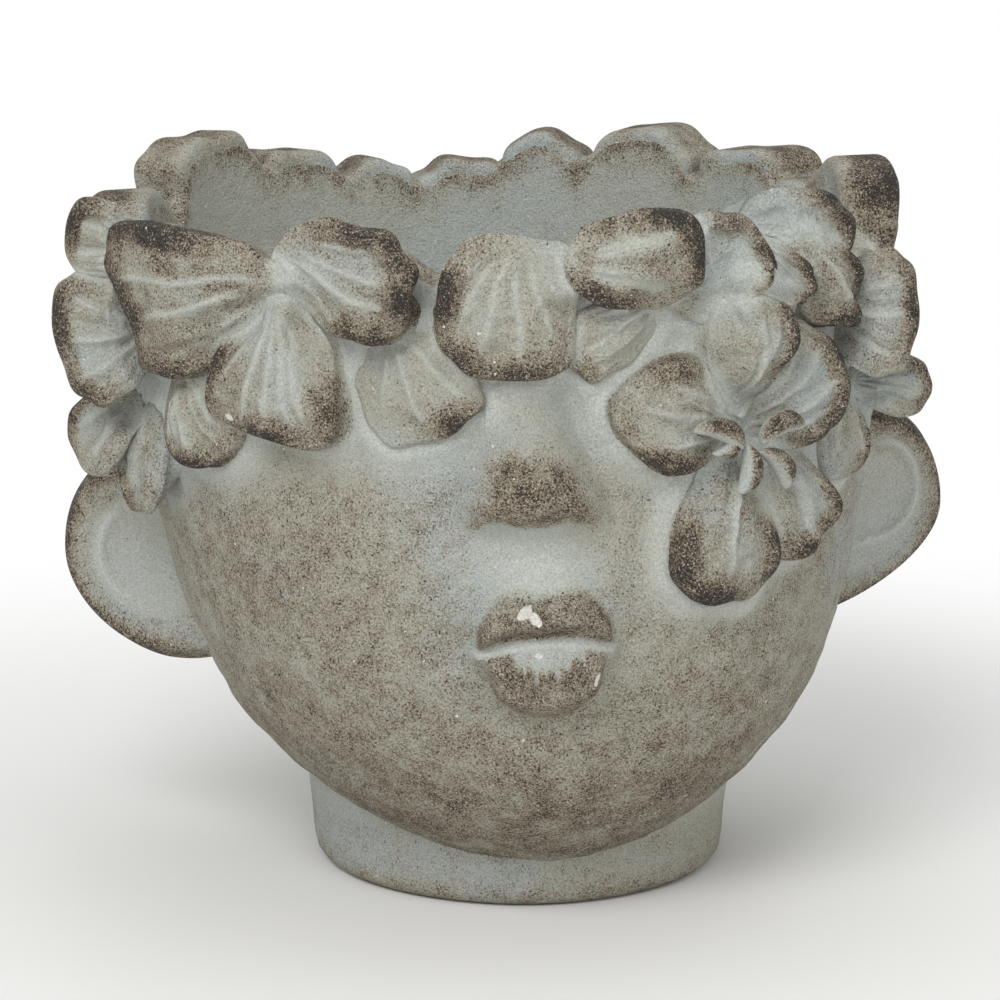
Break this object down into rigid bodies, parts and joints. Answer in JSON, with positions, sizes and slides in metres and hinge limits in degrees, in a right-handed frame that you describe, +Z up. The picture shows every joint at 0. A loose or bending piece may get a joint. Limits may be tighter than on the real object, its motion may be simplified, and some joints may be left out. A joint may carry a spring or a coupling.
{
  "type": "head planter",
  "caption": "Cast cement flower pot shaped as a child's head: a hollow bowl on a round neck, with ears, nose and puckered lips, its rim a wreath of petals that hides the eyes.",
  "frame": {"origin": "middle of the drain hole, at the table", "axes": "+Z up, the face looks along -Y, +X is to the viewer's right"},
  "size_m": [0.2028, 0.1833, 0.1596],
  "materials": {
    "cement": "matt cast cement, pale grey-green wash rubbed back to sandy brown on the high spots"
  },
  "bodies": {
    "root": {"back_leaf_1": "cement", "back_leaf_2": "cement", "back_leaf_3": "cement", "back_leaf_4": "cement", "back_leaf_5": "cement", "back_leaf_6": "cement", "back_leaf_7": "cement", "back_leaf_8": "cement", "back_petal_1": "cement", "back_petal_2": "cement", "back_petal_3": "cement", "back_petal_4": "cement", "back_petal_5": "cement", "back_petal_6": "cement", "back_petal_7": "cement", "back_petal_8": "cement", "back_petal_9": "cement", "brow_leaf": "cement", "forehead_leaf": "cement", "forehead_petal": "cement", "hanging_flower_left_petal": "cement", "hanging_flower_low_right_petal": "cement", "hanging_flower_lower_petal": "cement", "hanging_flower_pistil": "cement", "hanging_flower_right_petal": "cement", "hanging_flower_upper_petal": "cement", "head_shell": "cement", "left_bloom_inner_petal": "cement", "left_bloom_lower_petal": "cement", "left_bloom_outer_petal": "cement", "left_ear": "cement", "left_ear_back_leaf": "cement", "left_ear_front_leaf": "cement", "left_rim_petal": "cement", "left_side_petal": "cement", "left_temple_leaf": "cement", "lower_lip": "cement", "neck_foot": "cement", "nose": "cement", "right_brow_petal": "cement", "right_curl_petal": "cement", "right_ear": "cement", "right_ear_bud": "cement", "right_inner_leaf": "cement", "right_leaf": "cement", "right_rim_petal": "cement", "right_side_petal": "cement", "right_tall_petal": "cement", "right_temple_leaf": "cement", "upper_lip": "cement"}
  },
  "joints": []
}
